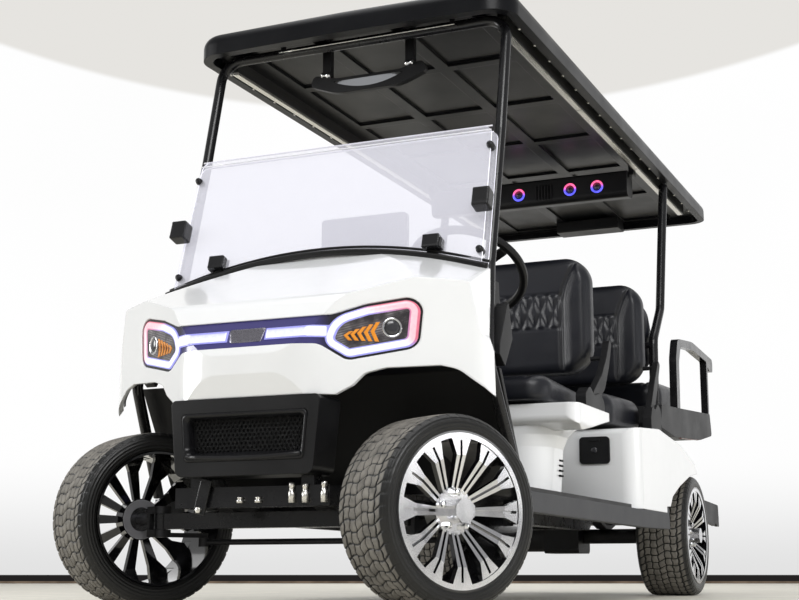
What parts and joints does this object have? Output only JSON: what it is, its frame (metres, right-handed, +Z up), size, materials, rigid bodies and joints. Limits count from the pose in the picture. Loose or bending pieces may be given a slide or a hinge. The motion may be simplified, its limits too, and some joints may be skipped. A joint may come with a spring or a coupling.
{
  "type": "golf cart",
  "caption": "Long-wheelbase open golf cart with forward-facing benches, a rear-facing flip bench, a full-length roof, a folding windscreen and steered front wheels.",
  "frame": {"origin": "on the ground, at the middle of the overall width and length with the front wheels steered as parked", "axes": "-Y to the front, +X to the vehicle's left, +Z up"},
  "size_m": [1.3318, 3.6191, 1.8],
  "materials": {
    "body_white": "gloss",
    "trim_black": "matte",
    "rocker_grey": "matte",
    "roof_black": "satin",
    "frame_black": "satin",
    "tyre": "matte",
    "rim": "machined",
    "seat_vinyl": "satin",
    "glass": "clear",
    "rail_alu": "satin",
    "mirror_glass": "polished",
    "cast_steel": "rough",
    "grey_box": "satin",
    "lamp_glass": "clear",
    "gloss_black": "gloss",
    "lamp_band": "gloss"
  },
  "bodies": {
    "chassis": {"front_axle": "frame_black", "front_springs": "cast_steel", "rear_axle": "cast_steel", "rear_springs": "cast_steel", "steering_column": "trim_black", "chassis_frame": "frame_black", "floor_pan": "trim_black", "rocker_panels": "rocker_grey", "battery_pack": "grey_box", "front_cowl": "body_white", "front_bumper": "trim_black", "dash": "trim_black", "front_seat_pod": "body_white", "rear_body": "body_white", "charge_port": "trim_black", "footrest": "trim_black", "front_cushion": "seat_vinyl", "front_back": "seat_vinyl", "middle_cushion": "seat_vinyl", "middle_back": "seat_vinyl", "rear_back": "seat_vinyl", "rear_seat_shell": "trim_black", "hip_restraints": "trim_black", "rear_armrests": "frame_black", "roof": "roof_black", "roof_rails": "rail_alu", "front_hoop": "frame_black", "rear_struts": "frame_black", "windscreen": "glass", "windscreen_upper": "glass", "windscreen_clips": "trim_black", "mirror": "mirror_glass", "sound_bar": "trim_black", "roof_rear_box": "trim_black", "lamp_panel": "gloss_black", "light_band": "lamp_band", "headlamps": "lamp_glass", "dash_screen": "gloss_black", "front_liner": "trim_black", "side_trims": "trim_black"},
    "knuckle_left": {"knuckle_left": "cast_steel"},
    "knuckle_right": {"knuckle_right": "cast_steel"},
    "wheel_front_left": {"tyre_front_left": "tyre", "rim_front_left": "rim"},
    "wheel_front_right": {"tyre_front_right": "tyre", "rim_front_right": "rim"},
    "wheel_rear_left": {"tyre_rear_left": "tyre", "rim_rear_left": "rim"},
    "wheel_rear_right": {"tyre_rear_right": "tyre", "rim_rear_right": "rim"},
    "steering_wheel": {"steering_wheel": "trim_black"},
    "tie_rod": {"tie_rod": "cast_steel"},
    "rear_cushion": {"rear_cushion": "seat_vinyl", "rear_seat_hinge": "frame_black"}
  },
  "joints": [
    {"name": "steer_left", "type": "hinge", "parent": "chassis", "child": "knuckle_left", "pos_m": [0.375, -1.50541, 0.2395], "axis": [0, 0, 1], "range_deg": [-4, 66]},
    {"name": "steer_right", "type": "hinge", "parent": "chassis", "child": "knuckle_right", "pos_m": [-0.375, -1.50541, 0.2395], "axis": [0, 0, 1], "range_deg": [-4, 66]},
    {"name": "tie_rod_slide", "type": "slide", "parent": "chassis", "child": "tie_rod", "axis": [1, 0, 0], "range_m": [-0.1535, 0.0196]},
    {"name": "steering_wheel_turn", "type": "hinge", "parent": "chassis", "child": "steering_wheel", "pos_m": [0.29, -0.87041, 1], "axis": [0, 0.5736, 0.8192], "range_deg": [-48, 792]},
    {"name": "wheel_front_left_spin", "type": "hinge", "parent": "knuckle_left", "child": "wheel_front_left", "pos_m": [0.46929, -1.56206, 0.2395], "axis": [0.8572, -0.515, 0], "continuous": true},
    {"name": "wheel_front_right_spin", "type": "hinge", "parent": "knuckle_right", "child": "wheel_front_right", "pos_m": [-0.46929, -1.44876, 0.2395], "axis": [0.8572, -0.515, 0], "continuous": true},
    {"name": "wheel_rear_left_spin", "type": "hinge", "parent": "chassis", "child": "wheel_rear_left", "pos_m": [0.485, 0.96459, 0.2395], "axis": [1, 0, 0], "continuous": true},
    {"name": "wheel_rear_right_spin", "type": "hinge", "parent": "chassis", "child": "wheel_rear_right", "pos_m": [-0.485, 0.96459, 0.2395], "axis": [1, 0, 0], "continuous": true},
    {"name": "rear_seat_flip", "type": "hinge", "parent": "chassis", "child": "rear_cushion", "pos_m": [0, 1.47159, 0.8], "axis": [-1, 0, 0], "range_deg": [0, 180]}
  ],
  "couplings": [
    {"joint": "steer_right", "follows": "steer_left", "ratio": 1},
    {"joint": "tie_rod_slide", "follows": "steer_left", "m_per_rad": -0.12206},
    {"joint": "steering_wheel_turn", "follows": "steer_left", "ratio": 12}
  ]
}
